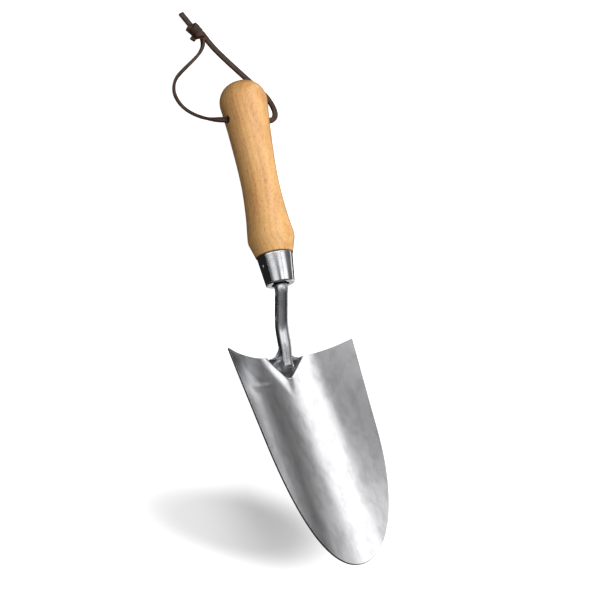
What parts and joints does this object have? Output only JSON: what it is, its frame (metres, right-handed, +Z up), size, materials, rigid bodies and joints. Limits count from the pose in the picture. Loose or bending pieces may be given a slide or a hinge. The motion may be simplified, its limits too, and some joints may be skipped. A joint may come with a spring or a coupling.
{
  "type": "hand trowel",
  "caption": "Hand trowel with a trough-shaped steel blade, cranked round neck, tapered ferrule, turned waisted wooden handle and a knotted leather hanging lace.",
  "frame": {"origin": "bottom centre of the trowel's own box, on the surface that it lies on, without the lace", "axes": "+X from the handle towards the blade's tip, +Y across the blade, +Z up out of the scoop"},
  "size_m": [0.3677, 0.0868, 0.0503],
  "materials": {
    "blade": "satin, brushed lengthwise",
    "neck": "polished",
    "neck_weld": "ground weld bead",
    "ferrule": "polished",
    "ferrule_pin": "domed rivet end",
    "handle": "turned beech, lacquered",
    "lanyard_left": "dark brown thong",
    "lanyard_right": "dark brown thong",
    "lanyard_knot": "dark brown thong, knotted",
    "lanyard_tail": "dark brown thong, cut end",
    "lanyard_stub": "dark brown thong, cut end"
  },
  "bodies": {
    "root": {"blade": "blade", "neck": "neck", "neck_weld": "neck_weld", "ferrule": "ferrule", "ferrule_pin": "ferrule_pin", "handle": "handle", "lanyard_left": "lanyard_left", "lanyard_right": "lanyard_right", "lanyard_knot": "lanyard_knot", "lanyard_tail": "lanyard_tail", "lanyard_stub": "lanyard_stub"}
  },
  "joints": []
}
